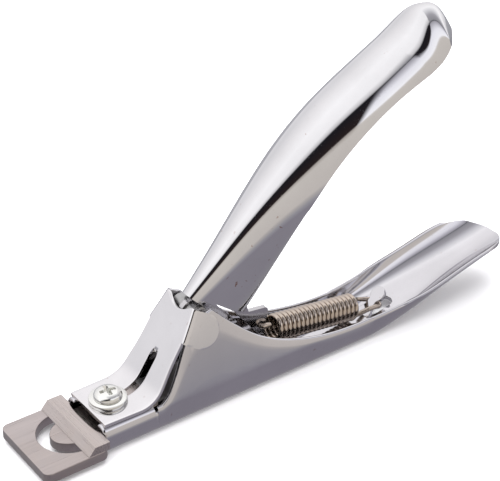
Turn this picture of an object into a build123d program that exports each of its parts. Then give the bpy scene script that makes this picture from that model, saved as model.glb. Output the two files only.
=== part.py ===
from build123d import *
import math
import os

# Hand-held guillotine cutter for artificial nail tips.
# A pressed channel (the lower handle) carries a die plate with a round window, a blade that slides
# over it, a bent cover plate and a sprung upper handle that drives the blade forward.
# Millimetres. +X runs from the cutting end to the handle ends, +Z is up, and the channel's floor is
# at Z = 0. The model is built from the die's front edge (X = 0) and moved to its box centre at export.

OVERALL_LENGTH = 128.0
SHEET = 0.9              # pressed steel of both handles
FIT_GAP = 0.05           # radial clearance of a running fit

# Lower handle
CHANNEL_FRONT = 14.5
CHANNEL_HALF_WIDTH = 7.5
CHANNEL_CORNER = 1.6
WALL_KNEE_Z = 5.8        # above this height the walls lean inward
WALL_LEAN = 3.1 / 18.2   # sideways travel for each millimetre of height
WALL_TOP_Z = 24.0
LIP_TOP_Z = 6.1
LIP_INNER_Y = 4.6
LIP_REAR = 26.5
TROUGH_FRONT = 84.0      # the flat floor ends here and the handle turns up into a trough
END_REACH = 16.0         # half axes of the trough's elliptical end, seen from above
END_HALF_WIDTH = 9.1
RELIEF_END = 27.1        # a slit frees the folded lips from the standing walls
RELIEF_Z = 3.8

# Die plate
DIE_WIDTH = 19.0
DIE_HEAD_LENGTH = 14.3
DIE_THICKNESS = 2.2
DIE_SHANK_HALF = 6.0
DIE_SHANK_REAR = 28.0
DIE_HOLE_X = 10.6
DIE_HOLE_R = 6.7

# Blade
EDGE_X = 9.5
BEVEL_LENGTH = 1.5
BLADE_THICKNESS = 1.8
SHANK_THICKNESS = 1.0
BLADE_SHANK_HALF = 4.3
BLADE_SHANK_REAR = 33.5
PEG_X = 31.0
PEG_R = 1.2

# Lock screw
SCREW_X = 19.8
SCREW_R = 1.5
SCREW_HEAD_R = 3.0
WASHER_R = 4.0
WASHER_THICKNESS = 1.0

# Cover plate
COVER_SHEET = 0.7
COVER_SLOT = 2.2
COVER_SLOT_REAR = 30.6

# Drive
PIVOT_X = 40.0
PIVOT_Z = 20.5
PIN_R = 1.5
PIN_HALF_LENGTH = 4.75
DRIVE_X = 43.3
DRIVE_NOSE_R = 1.4
LEVER_THICKNESS = 1.2
SLIDE_PLATE_Z = 4.15
SLIDE_PLATE_THICKNESS = 0.9

# Spring
WIRE_R = 0.55
COIL_R = 2.65
COIL_FRONT = (61.0, 7.8)
COIL_REAR = (83.6, 4.7)
COIL_TURNS = 19
TAIL_HOLE = (57.7, 10.6)

# Lanced tab that holds the spring's rear hook
TAB_ROOT = (87.5, 0.95)  # in the middle of the floor's thickness, just in front of the window
TAB_ANGLE = 41.0

DIE_TOP_Z = SHEET + DIE_THICKNESS
COVER_TOP_Z = LIP_TOP_Z + COVER_SHEET
DRIVE_Z = SLIDE_PLATE_Z + SLIDE_PLATE_THICKNESS / 2


def side_prism(points, half_width=20.0):
    """A prism across the tool whose outline is given in X and Z."""
    face = Plane.XZ * make_face(Polyline(*points, close=True))
    return extrude(face, amount=half_width, both=True)


def plan_prism(face, low, high):
    """A plan outline extruded between two heights."""
    return extrude(Plane.XY.offset(low) * face, amount=high - low)


def cross_pin(x, z, radius, y_low, y_high):
    """A round bar along Y."""
    bar = Plane.XZ.offset(-y_low) * Pos(x, z) * Circle(radius)
    return extrude(bar, amount=-(y_high - y_low))


def wall_face(inset):
    """The channel's cross-section, moved inward by inset; the inner one is open at the top."""
    half = CHANNEL_HALF_WIDTH - inset
    top = WALL_TOP_Z + 2 * inset
    half_top = half - WALL_LEAN * (top - WALL_KNEE_Z)
    outline = Polyline(
        (-half_top, top), (-half, WALL_KNEE_Z), (-half, inset),
        (half, inset), (half, WALL_KNEE_Z), (half_top, top), close=True)
    face = make_face(outline)
    return fillet(face.vertices().sort_by(Axis.Y)[:2], CHANNEL_CORNER - inset * 0.8)


def lip_face():
    """The cross-section at the front, where both walls fold over into lips."""
    width = 2 * CHANNEL_HALF_WIDTH
    mid = LIP_TOP_Z / 2
    outer = Pos(0, mid) * RectangleRounded(width, LIP_TOP_Z, 1.4)
    inner = Pos(0, mid) * RectangleRounded(width - 2 * SHEET, LIP_TOP_Z - 2 * SHEET, 0.6)
    mouth = Pos(0, LIP_TOP_Z) * Rectangle(2 * LIP_INNER_Y, 2 * SHEET + 1)
    return outer - inner - mouth


def trough_face(half, floor, corner, inset):
    """One cross-section of the turned-up rear trough, moved inward by inset."""
    top = 24.0 + inset
    half = half - inset
    floor = floor + inset
    outline = Polyline((-half, top), (-half, floor), (half, floor), (half, top), close=True)
    face = make_face(outline)
    return fillet(face.vertices().sort_by(Axis.Y)[:2], corner - inset * 0.8)


# Rear trough: distance along X, half width, floor height and corner radius
TROUGH_STATIONS = [
    (84.0, 7.5, 0.0, 2.0),
    (90.0, 7.9, 0.8, 3.0),
    (98.0, 8.6, 2.4, 5.0),
    (107.0, 9.1, 4.4, 7.0),
    (116.0, 9.3, 6.2, 8.2),
    (123.0, 9.4, 7.7, 8.8),
    (130.0, 9.4, 9.6, 9.0),
]

WALL_FRONT_EDGE = [(28.2, 6.0), (30.0, 7.5), (32.0, 10.8), (35.2, 17.3), (38.3, 20.9), (42.3, 22.4)]
RIM = [(42.3, 22.4), (45.3, 19.4), (53.7, 12.3), (63.0, 8.1), (71.0, 6.2), (80.0, 5.4),
       (90.0, 5.9), (100.0, 7.3), (109.0, 9.3), (117.0, 11.0), (123.0, 11.2), (130.0, 9.8)]


def rim_profile():
    """Everything below the wall's front edge and rim, as a prism across the tool."""
    front = Spline(*WALL_FRONT_EDGE)
    rim = Spline(*RIM)
    close = Polyline(
        RIM[-1], (130.0, -2.0), (26.0, -2.0), (26.0, RELIEF_Z), (RELIEF_END, RELIEF_Z), (RELIEF_END, 6.0),
        WALL_FRONT_EDGE[0])
    return extrude(Plane.XZ * make_face(front + rim + close), amount=20.0, both=True)


def lanced_tab():
    """The waisted tongue lanced out of the floor, leaning towards the handle's end."""
    base = Pos(0, 0.9) * Rectangle(4.0, 1.8)
    waist = Pos(0, 3.2) * Rectangle(2.2, 3.8)
    head = Pos(0, 6.0) * Circle(1.9)
    outline = base + waist + head
    lean = Location((TAB_ROOT[0], 0, TAB_ROOT[1])) * Rotation(0, 90 - TAB_ANGLE, 0)
    tongue = extrude(Plane.YZ * outline, amount=SHEET / 2, both=True)
    return lean * tongue


def lower_handle():
    ring = wall_face(0) - wall_face(SHEET)
    length = TROUGH_FRONT - LIP_REAR
    walls = extrude(Plane.YZ.offset(LIP_REAR) * ring, amount=length)
    outer = loft([Plane.YZ.offset(x) * trough_face(w, f, r, 0) for x, w, f, r in TROUGH_STATIONS])
    inner = loft([Plane.YZ.offset(x) * trough_face(w, f, r, SHEET) for x, w, f, r in TROUGH_STATIONS])
    shell = (walls + (outer - inner)) & rim_profile()
    lips = extrude(Plane.YZ.offset(CHANNEL_FRONT) * lip_face(), amount=LIP_REAR - CHANNEL_FRONT)
    straight = OVERALL_LENGTH - END_REACH
    end_outline = Pos(straight, 0) * Ellipse(END_REACH, END_HALF_WIDTH)
    end_outline += Pos(straight / 2, 0) * Rectangle(straight, 24)
    shell = (shell + lips) & plan_prism(end_outline, -1, 40)
    window = plan_prism(Pos(91.9, 0) * SlotOverall(7.6, 4.0), -1, 4)
    bore = cross_pin(PIVOT_X, PIVOT_Z, PIN_R, -10, 10)
    return shell - window + lanced_tab() - bore


def die_plate():
    head = Pos(DIE_HEAD_LENGTH / 2, 0) * RectangleRounded(DIE_HEAD_LENGTH, DIE_WIDTH, 1.6)
    shank_length = DIE_SHANK_REAR - DIE_HEAD_LENGTH + 4
    shank = Pos(DIE_SHANK_REAR - shank_length / 2, 0) * Rectangle(shank_length, 2 * DIE_SHANK_HALF)
    hole = Pos(DIE_HOLE_X, 0) * Circle(DIE_HOLE_R)
    tongue = Pos(12.5, 0) * Ellipse(6.0, 4.4) + Pos(15.5, 0) * Rectangle(6.0, 8.8)
    thread = Pos(SCREW_X, 0) * Circle(SCREW_R)
    return plan_prism(head + shank - (hole - tongue) - thread, SHEET, DIE_TOP_Z)


def blade():
    top = DIE_TOP_Z + BLADE_THICKNESS
    step = DIE_TOP_Z + SHANK_THICKNESS
    head = side_prism(
        [(EDGE_X, DIE_TOP_Z), (EDGE_X + BEVEL_LENGTH, top), (DIE_HEAD_LENGTH, top),
         (DIE_HEAD_LENGTH, DIE_TOP_Z)], DIE_WIDTH / 2)
    notch = plan_prism(Pos(DIE_HEAD_LENGTH, 0) * Ellipse(0.8, 6.0), step, top + 1)
    length = BLADE_SHANK_REAR - DIE_HEAD_LENGTH + 1
    shank = plan_prism(Pos(BLADE_SHANK_REAR - length / 2, 0) * Rectangle(length, 2 * BLADE_SHANK_HALF),
                       DIE_TOP_Z, step)
    slot = plan_prism(Pos(22.9, 0) * SlotOverall(10.6, 3.4), 0, 20)
    peg_hole = plan_prism(Pos(PEG_X, 0) * Circle(PEG_R + FIT_GAP), 0, 20)
    return head - notch + shank - slot - peg_hole


def slide_plate():
    """The strip behind the blade: a peg in front, a window for the lever and two bent-down skids."""
    top = SLIDE_PLATE_Z + SLIDE_PLATE_THICKNESS
    front, rear = 28.8, 48.0
    strip = plan_prism(Pos((front + rear) / 2, 0) * Rectangle(rear - front, 9.0), SLIDE_PLATE_Z, top)
    skid = Box(13.0, 0.9, top - SHEET - 0.05, align=(Align.MAX, Align.CENTER, Align.MAX))
    skids = Pos(rear, 4.5, top) * skid + Pos(rear, -4.5, top) * skid
    peg = plan_prism(Pos(PEG_X, 0) * Circle(PEG_R), DIE_TOP_Z, SLIDE_PLATE_Z)
    window_length = 2 * DRIVE_NOSE_R + 0.16
    window = Pos(DRIVE_X, 0, DRIVE_Z) * Box(window_length, LEVER_THICKNESS + 0.5, 3.0)
    return strip + skids + peg - window


def cover_profile(drop):
    """The cover's side outline, lowered square to its surface by drop."""
    slope_low = math.atan2(12.7, 8.5)
    slope_high = math.atan2(4.9, 2.8)
    knee = (26.4 + drop * math.tan(slope_low / 2), COVER_TOP_Z - drop)
    bend_angle = (slope_low + slope_high) / 2
    bend = (34.9 + drop * math.sin(bend_angle), 19.5 - drop * math.cos(bend_angle))
    top = (37.7 + drop * math.sin(slope_high), 24.4 - drop * math.cos(slope_high))
    return FilletPolyline((15.0, COVER_TOP_Z - drop), knee, bend, top, radius=5.0 + drop)


def cover_plate():
    """The bent sheet over the blade: flat on the lips, then up the incline, with an ear on each side."""
    upper = cover_profile(0)
    lower = cover_profile(COVER_SHEET)
    joins = Line(upper @ 0, lower @ 0) + Line(upper @ 1, lower @ 1)
    sheet = extrude(Plane.XZ * make_face(upper + lower + joins), amount=10.0, both=True)
    plan = Polyline((14.0, 6.6), (15.0, 6.6), (25.0, 7.0), (29.0, 6.7), (33.0, 6.3), (36.0, 6.0),
                    (39.0, 5.3), (39.0, -5.3), (36.0, -6.0), (33.0, -6.3), (29.0, -6.7), (25.0, -7.0),
                    (15.0, -6.6), (14.0, -6.6), close=True)
    sheet = sheet & plan_prism(make_face(plan), 0, 40)
    slot_length = COVER_SLOT_REAR - SCREW_X + COVER_SLOT
    slot_centre = (SCREW_X + COVER_SLOT_REAR) / 2
    keyhole = Pos(slot_centre, 0) * SlotOverall(slot_length, COVER_SLOT)
    keyhole += Pos(SCREW_X, 0) * Circle(SCREW_R + 2 * FIT_GAP)
    slot = plan_prism(keyhole, 0, 40)
    dip = Pos(40.3, 0, 26.2) * Rotation(0, 30, 0) * Box(5.6, 6.4, 6.0)
    return sheet - slot - dip + cover_ear(1) + cover_ear(-1)


def cover_ear(side):
    """One rounded ear, lying just outside the leaning side wall and hiding the pivot pin's end."""
    lean = math.atan(WALL_LEAN)
    wall_y = CHANNEL_HALF_WIDTH - WALL_LEAN * (PIVOT_Z - WALL_KNEE_Z)
    origin = (PIVOT_X, side * (wall_y + 0.12), PIVOT_Z)
    plane = Plane(origin=origin, x_dir=(1, 0, 0), z_dir=(0, side * math.cos(lean), math.sin(lean)))
    fold = math.degrees(math.atan2(4.9, 2.8)) - 90
    centre = Location((0.4, side * -0.1)) * Rotation(0, 0, fold * side)
    outline = centre * (Circle(3.5) + Pos(-2.2, 0) * Rectangle(4.4, 7.0))
    return extrude(plane * outline, amount=COVER_SHEET)


def lock_screw():
    under = COVER_TOP_Z + WASHER_THICKNESS
    shaft = Pos(0, 0, 1.2) * Cylinder(SCREW_R, under - 1.2, align=(Align.CENTER, Align.CENTER, Align.MIN))
    head = Pos(0, 0, under) * Cylinder(SCREW_HEAD_R, 1.5, align=(Align.CENTER, Align.CENTER, Align.MIN))
    head = fillet(head.edges().group_by(Axis.Z)[-1], 0.9)
    recess_top = under + 1.5
    recess = Pos(0, 0, recess_top) * (Box(3.4, 0.7, 1.6) + Box(0.7, 3.4, 1.6))
    return Pos(SCREW_X, 0, 0) * (shaft + head - recess)


def screw_washer():
    ring = Circle(WASHER_R) - Circle(SCREW_R + FIT_GAP)
    return plan_prism(Pos(SCREW_X, 0) * ring, COVER_TOP_Z, COVER_TOP_Z + WASHER_THICKNESS)


def pivot_pin():
    return cross_pin(PIVOT_X, PIVOT_Z, PIN_R, -PIN_HALF_LENGTH, PIN_HALF_LENGTH)


def lever_spacers():
    """Two short tubes on the pivot pin that hold the lever in the middle of the channel."""
    inner = LEVER_THICKNESS / 2 + 0.05
    outer = 3.85
    tubes = []
    for low, high in ((inner, outer), (-outer, -inner)):
        tube = cross_pin(PIVOT_X, PIVOT_Z, 2.4, low, high)
        tubes.append(tube - cross_pin(PIVOT_X, PIVOT_Z, PIN_R + 0.02, low, high))
    return Compound(children=tubes)


def lever_plate():
    """The flat inner lever: eye, drive arm with a round nose, tail for the spring, and root."""
    body = Polyline(
        (41.2, 23.0), (45.5, 28.0), (52.5, 36.0), (57.6, 34.0), (56.0, 29.0), (52.9, 20.0), (54.6, 15.0),
        (59.9, 14.3), (58.9, 8.1), (57.2, 8.4), (53.6, 12.8), (51.0, 16.4), (46.0, 20.2), (42.6, 19.4),
        close=True)
    eye = Pos(PIVOT_X, PIVOT_Z) * Circle(2.9)
    arm = Polyline((37.5, 19.4), (DRIVE_X - 1.05, DRIVE_Z), (DRIVE_X + 1.05, DRIVE_Z), (43.6, 19.8),
                   close=True)
    nose = Pos(DRIVE_X, DRIVE_Z) * Circle(DRIVE_NOSE_R)
    tail = make_face(body)
    tail = fillet(tail.vertices().sort_by(Axis.X)[-1], 1.0)
    outline = tail + eye + make_face(arm) + nose
    bore = Pos(PIVOT_X, PIVOT_Z) * Circle(PIN_R + FIT_GAP)
    hook_hole = Pos(*TAIL_HOLE) * Circle(0.8)
    return extrude(Plane.XZ * (outline - bore - hook_hole), amount=LEVER_THICKNESS / 2, both=True)


# Upper handle crest: X, Z, crown radius and depth square to the crest. Where the depth is more than
# the radius, straight cheeks hang from the half-round crown.
SPINE = [
    (38.9, 25.0, 2.6, 15.0),
    (45.0, 31.4, 4.0, 13.2),
    (53.0, 40.0, 6.2, 10.4),
    (63.0, 49.8, 8.9, 7.0),
    (74.0, 58.2, 10.0, 5.8),
    (84.0, 63.9, 10.2, 5.6),
    (91.0, 67.7, 10.0, 6.2),
]
# The raised dome behind the last station: distance along its rim, width scale and height
END_DOME = [(3.0, 0.98, 6.5), (6.0, 0.87, 7.4), (9.0, 0.69, 7.9), (11.3, 0.47, 6.9), (12.8, 0.28, 4.8)]
DOME_TILT = 28.0
SHORTEST_CHEEK = 0.5


def crown_face(place, radius, depth, wide, inset, extra_depth):
    """A handle section: an arc of crown, then straight sides down to depth. place is its plane, with
    the crest at the origin; wide stretches it across; inset moves it inward."""
    turn = min(math.pi / 2, math.acos(max(-1.0, 1 - (depth - SHORTEST_CHEEK) / radius)))
    inner = radius - inset
    half = inner * math.sin(turn) * wide
    shoulder = radius - inner * math.cos(turn)
    drop = depth + extra_depth - shoulder
    low_half = half + drop / math.tan(turn) * wide
    low = -(depth + extra_depth)
    middle = inner * math.sin(turn / 2) * wide
    middle_h = radius - inner * math.cos(turn / 2)
    crown = Spline((-half, -shoulder), (-middle, -middle_h), (0, -inset), (middle, -middle_h),
                   (half, -shoulder))
    sides = Polyline((half, -shoulder), (low_half, low), (-low_half, low), (-half, -shoulder))
    return place * make_face(crown + sides)


def crown_plane(x, z, tangent):
    return Plane(origin=(x, 0, z), x_dir=(0, 1, 0), z_dir=(tangent[0], 0, tangent[1]))


def handle_loft(inset, extra_depth):
    """The handle's solid outline; moved inward, it is the hollow, which stops short of the tip."""
    dome = END_DOME[:-1] if inset else END_DOME
    path = Spline(*[(x, z) for x, z, r, d in SPINE])
    faces = []
    for x, z, r, d in SPINE:
        tangent = path.tangent_at(path.param_at_point((x, z)))
        faces.append(crown_face(crown_plane(x, z, (tangent.X, tangent.Y)), r, d, 1, inset, extra_depth))
    rim = (x + tangent.Y * d, z - tangent.X * d)
    tilt = math.radians(DOME_TILT)
    along = (math.cos(tilt), math.sin(tilt))
    for reach, wide, height in dome:
        crest_x = rim[0] + along[0] * reach - along[1] * height
        crest_z = rim[1] + along[1] * reach + along[0] * height
        plane = crown_plane(crest_x, crest_z, along)
        faces.append(crown_face(plane, r, height, wide, inset, extra_depth))
    return loft(faces)


def upper_handle():
    """The arched shell of the upper handle, open below, with its cheeks cut back at the nose."""
    shell = handle_loft(0, 0) - handle_loft(SHEET, 6.0)
    under_nose = side_prism([(34.0, 25.7), (40.2, 25.7), (45.6, 20.9), (51.0, 17.3), (54.0, 10.0),
                             (34.0, 8.0)])
    return shell - under_nose


def return_spring():
    """Close-wound extension spring with a hook at each end."""
    (x0, z0), (x1, z1) = COIL_FRONT, COIL_REAR
    length = math.hypot(x1 - x0, z1 - z0)
    axis = Vector((x1 - x0) / length, 0, (z1 - z0) / length)
    helix = Helix(length / COIL_TURNS, length, COIL_R)
    plane = Plane(origin=(x0, 0, z0), x_dir=(0, 1, 0), z_dir=axis)
    start = Plane(origin=helix @ 0, z_dir=helix % 0)
    coil = plane * sweep(start * Circle(WIRE_R), path=helix)
    front_z = z0 + 2.11
    front = [(x0 + 0.4, 1.6, front_z), (TAIL_HOLE[0], 1.6, TAIL_HOLE[1]),
             (TAIL_HOLE[0], -1.6, TAIL_HOLE[1]), (x0 - 1.6, -1.6, front_z)]
    rear = [(x1 - 0.4, -1.75, z1 + 2.0), (91.95, -1.75, 2.9), (91.95, 1.75, 2.9), (86.0, 1.75, 5.1)]
    hooks = [wire_hook(points) for points in (front, rear)]
    return Compound(children=[coil] + hooks)


def wire_hook(points):
    path = FilletPolyline(*points, radius=1.2)
    start = Plane(origin=path @ 0, z_dir=path % 0)
    return sweep(start * Circle(WIRE_R), path=path)


os.makedirs("parts", exist_ok=True)
nodes = {
    "lower_handle": lower_handle(),
    "die_plate": die_plate(),
    "blade": blade(),
    "slide_plate": slide_plate(),
    "cover_plate": cover_plate(),
    "lock_screw": lock_screw(),
    "screw_washer": screw_washer(),
    "pivot_pin": pivot_pin(),
    "lever_spacers": lever_spacers(),
    "lever_plate": lever_plate(),
    "upper_handle": upper_handle(),
    "return_spring": return_spring(),
}
to_centre = Pos(-OVERALL_LENGTH / 2, 0, 0)
for name, solid in nodes.items():
    export_step(to_centre * solid, f"parts/{name}.step")
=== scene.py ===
import math

import bmesh
import bpy
import numpy as np
from mathutils import Matrix, Vector


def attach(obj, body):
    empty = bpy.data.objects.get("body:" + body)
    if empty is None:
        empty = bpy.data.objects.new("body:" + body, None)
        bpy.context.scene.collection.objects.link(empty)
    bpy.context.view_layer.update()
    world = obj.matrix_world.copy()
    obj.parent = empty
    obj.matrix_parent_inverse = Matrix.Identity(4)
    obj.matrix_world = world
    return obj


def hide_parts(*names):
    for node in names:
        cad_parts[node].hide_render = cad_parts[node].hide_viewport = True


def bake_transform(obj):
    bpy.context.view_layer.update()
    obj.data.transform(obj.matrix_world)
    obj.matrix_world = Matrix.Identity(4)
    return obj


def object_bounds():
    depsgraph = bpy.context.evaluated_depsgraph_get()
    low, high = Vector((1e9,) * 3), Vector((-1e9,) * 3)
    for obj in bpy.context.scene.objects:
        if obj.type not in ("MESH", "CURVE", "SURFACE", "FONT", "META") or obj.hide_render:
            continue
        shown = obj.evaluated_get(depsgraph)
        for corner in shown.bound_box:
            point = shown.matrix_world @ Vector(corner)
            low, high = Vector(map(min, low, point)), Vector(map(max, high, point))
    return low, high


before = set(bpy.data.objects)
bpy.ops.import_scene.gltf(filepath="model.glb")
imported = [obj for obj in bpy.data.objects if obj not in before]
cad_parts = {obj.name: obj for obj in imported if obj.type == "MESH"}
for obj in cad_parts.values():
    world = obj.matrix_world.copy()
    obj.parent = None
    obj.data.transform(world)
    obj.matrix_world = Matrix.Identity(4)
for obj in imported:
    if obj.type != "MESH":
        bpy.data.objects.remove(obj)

CAD_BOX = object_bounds()
MM = 0.001

# All shapes below are written in millimetres, with X measured from the die's front edge.
FRONT_X = -CAD_BOX[0].x / MM


def at(x, y, z):
    """A point in the row frame, in metres."""
    return Vector(((x - FRONT_X) * MM, y * MM, z * MM))


# Sizes that more than one piece uses
SHEET = 0.9              # pressed steel of both handles
COVER_SHEET = 0.7
COVER_TOP = 6.8
DIE_LOW, DIE_TOP = 0.9, 3.1
DIE_HEAD = 14.3
HEAD_HALF = 9.5          # half width of the die's head and of the blade
SCREW_X, SCREW_R = 19.8, 1.5
PIVOT = (40.0, 20.5)
TAIL_HOLE = (57.7, 10.6)
TROUGH_X = 84.0          # the flat floor ends here and the trough begins
WIRE_R = 0.55
COIL_FRONT, COIL_REAR = (61.0, 7.8), (83.6, 4.7)


# ---------------------------------------------------------------- curves and meshes

def spline(knots):
    """A natural cubic through (t, value) knots, as a function."""
    t, v = (np.array(c, float) for c in zip(*knots))
    n = len(t)
    h = np.diff(t)
    a = np.eye(n)
    b = np.zeros(n)
    for i in range(1, n - 1):
        a[i, i - 1:i + 2] = h[i - 1], 2 * (h[i - 1] + h[i]), h[i]
        b[i] = 6 * ((v[i + 1] - v[i]) / h[i] - (v[i] - v[i - 1]) / h[i - 1])
    m = np.linalg.solve(a, b)

    def value(q):
        i = int(np.clip(np.searchsorted(t, q) - 1, 0, n - 2))
        l, r = t[i + 1] - q, q - t[i]
        k = h[i]
        cubic = (m[i] * l ** 3 + m[i + 1] * r ** 3) / (6 * k)
        return cubic + (v[i] / k - m[i] * k / 6) * l + (v[i + 1] / k - m[i + 1] * k / 6) * r

    return value


def new_object(name, bm, smooth_angle=35.0):
    """A mesh object from bm, smooth except across edges sharper than smooth_angle."""
    bmesh.ops.recalc_face_normals(bm, faces=bm.faces)
    mesh = bpy.data.meshes.new(name)
    for face in bm.faces:
        face.smooth = True
    limit = math.radians(smooth_angle)
    for edge in bm.edges:
        edge.smooth = len(edge.link_faces) == 2 and edge.calc_face_angle(0.0) < limit
    bm.to_mesh(mesh)
    bm.free()
    obj = bpy.data.objects.new(name, mesh)
    bpy.context.scene.collection.objects.link(obj)
    return obj


def loop_tube(bm, loops):
    """Joins closed loops of equal length into a tube. Each loop runs over the outside of a sheet and
    back along its inside, so a cap is a strip between its first and second half."""
    rows = [[bm.verts.new(p) for p in loop] for loop in loops]
    count = len(rows[0])
    for a, b in zip(rows, rows[1:]):
        for i in range(count):
            j = (i + 1) % count
            bm.faces.new((a[i], a[j], b[j], b[i]))
    for row in (rows[0], rows[-1]):
        for i in range(count // 2 - 1):
            bm.faces.new((row[i], row[i + 1], row[count - 2 - i], row[count - 1 - i]))


def apply_modifiers(obj):
    """Replaces obj's mesh with what its modifiers make of it, and returns obj."""
    graph = bpy.context.evaluated_depsgraph_get()
    graph.update()
    mesh = bpy.data.meshes.new_from_object(obj.evaluated_get(graph))
    obj.modifiers.clear()
    obj.data = mesh
    return obj


def bevel(obj, width, segments=3, angle=40.0):
    """Rounds the edges of obj that are sharper than angle, by width in millimetres."""
    modifier = obj.modifiers.new("edge", "BEVEL")
    modifier.width = width * MM
    modifier.segments = segments
    modifier.limit_method = "ANGLE"
    modifier.angle_limit = math.radians(angle)
    modifier.use_clamp_overlap = True
    weighted = obj.modifiers.new("normals", "WEIGHTED_NORMAL")
    weighted.keep_sharp = False
    weighted.weight = 80
    return apply_modifiers(obj)


def cut(obj, cutter):
    """Takes cutter's volume out of obj and removes the cutter."""
    modifier = obj.modifiers.new("cut", "BOOLEAN")
    modifier.operation = "DIFFERENCE"
    modifier.solver = "EXACT"
    modifier.object = cutter
    bpy.context.view_layer.update()
    apply_modifiers(obj)
    bpy.data.objects.remove(cutter)
    return obj


def prism(name, outline, holes, place, low, high):
    """An outline with holes, both lists of 2-D points, as a solid between low and high. place turns
    (u, v, height) into a point in metres."""
    bm = bmesh.new()
    edges = []
    for ring in [outline] + list(holes):
        verts = [bm.verts.new((u, v, 0)) for u, v in ring]
        edges += [bm.edges.new((verts[i - 1], verts[i])) for i in range(len(verts))]
    bmesh.ops.triangle_fill(bm, use_beauty=True, use_dissolve=True, edges=edges)
    flat = list(bm.faces)
    raised = bmesh.ops.extrude_face_region(bm, geom=flat)
    top = [g for g in raised["geom"] if isinstance(g, bmesh.types.BMVert)]
    for vert in bm.verts:
        vert.co.z = low
    for vert in top:
        vert.co.z = high
    bmesh.ops.recalc_face_normals(bm, faces=bm.faces)
    for vert in bm.verts:
        vert.co = place(vert.co.x, vert.co.y, vert.co.z)
    return new_object(name, bm)


def flat_place(u, v, height):
    return at(u, v, height)


def side_place(u, v, height):
    """Outlines in X and Z, with the height across the tool."""
    return at(u, height, v)


def arc(cx, cz, radius, start, end, steps):
    """Points on a circle, angles in degrees."""
    angles = np.radians(np.linspace(start, end, steps))
    return [(cx + radius * math.cos(a), cz + radius * math.sin(a)) for a in angles]


def rounded(points, radius, steps=6):
    """A closed polygon with every corner rounded; radius is one number or one for each corner."""
    out = []
    count = len(points)
    radii = radius if isinstance(radius, (list, tuple)) else [radius] * count
    for i in range(count):
        p = Vector(points[i])
        a = (Vector(points[i - 1]) - p)
        b = (Vector(points[(i + 1) % count]) - p)
        half = a.angle(b) / 2
        reach = min(radii[i] / math.tan(half), a.length * 0.49, b.length * 0.49)
        if reach < 1e-4:
            out.append(tuple(p))
            continue
        start, end = p + a.normalized() * reach, p + b.normalized() * reach
        r = reach * math.tan(half)
        centre = p + (a.normalized() + b.normalized()).normalized() * (r / math.sin(half))
        u, w = start - centre, end - centre
        turn = u.angle_signed(w)
        for k in range(steps + 1):
            q = u.copy()
            q.rotate(Matrix.Rotation(-turn * k / steps, 2))
            out.append(tuple(centre + q))
    return out


def lathe(name, profile, centre, axis, steps=64):
    """A closed solid turned from (radius, height) points about an axis through centre."""
    bm = bmesh.new()
    turn = Vector(axis).to_track_quat("Z", "Y")
    rings = []
    for radius, height in profile:
        if radius < 1e-6:
            rings.append([bm.verts.new(centre + turn @ Vector((0, 0, height * MM)))])
            continue
        ring = []
        for k in range(steps):
            a = 2 * math.pi * k / steps
            p = Vector((radius * MM * math.cos(a), radius * MM * math.sin(a), height * MM))
            ring.append(bm.verts.new(centre + turn @ p))
        rings.append(ring)
    for a, b in zip(rings, rings[1:]):
        for k in range(steps):
            j = (k + 1) % steps
            quad = [a[k % len(a)], a[j % len(a)], b[j % len(b)], b[k % len(b)]]
            quad = list(dict.fromkeys(quad))
            if len(quad) > 2:
                bm.faces.new(quad)
    if len(rings[0]) > 1 and profile[0] == profile[-1]:
        bmesh.ops.remove_doubles(bm, verts=bm.verts, dist=1e-7)
    return new_object(name, bm)


def wire(name, points, radius, sides=14):
    """A round wire along points, with rounded-off ends."""
    bm = bmesh.new()
    path = [Vector(p) for p in points]
    tangents = [(path[min(i + 1, len(path) - 1)] - path[max(i - 1, 0)]).normalized()
                for i in range(len(path))]
    side = tangents[0].orthogonal().normalized()
    rows = []
    for i, (p, t) in enumerate(zip(path, tangents)):
        side = (side - t * side.dot(t)).normalized()
        other = t.cross(side)
        shrink = 0.8 if i in (0, len(path) - 1) else 1.0
        row = []
        for k in range(sides):
            a = 2 * math.pi * k / sides
            offset = side * math.cos(a) + other * math.sin(a)
            row.append(bm.verts.new(p + offset * radius * MM * shrink))
        rows.append(row)
    for a, b in zip(rows, rows[1:]):
        for k in range(sides):
            j = (k + 1) % sides
            bm.faces.new((a[k], a[j], b[j], b[k]))
    bm.faces.new(rows[0])
    bm.faces.new(rows[-1])
    return new_object(name, bm, 60)


# ---------------------------------------------------------------- materials

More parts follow.
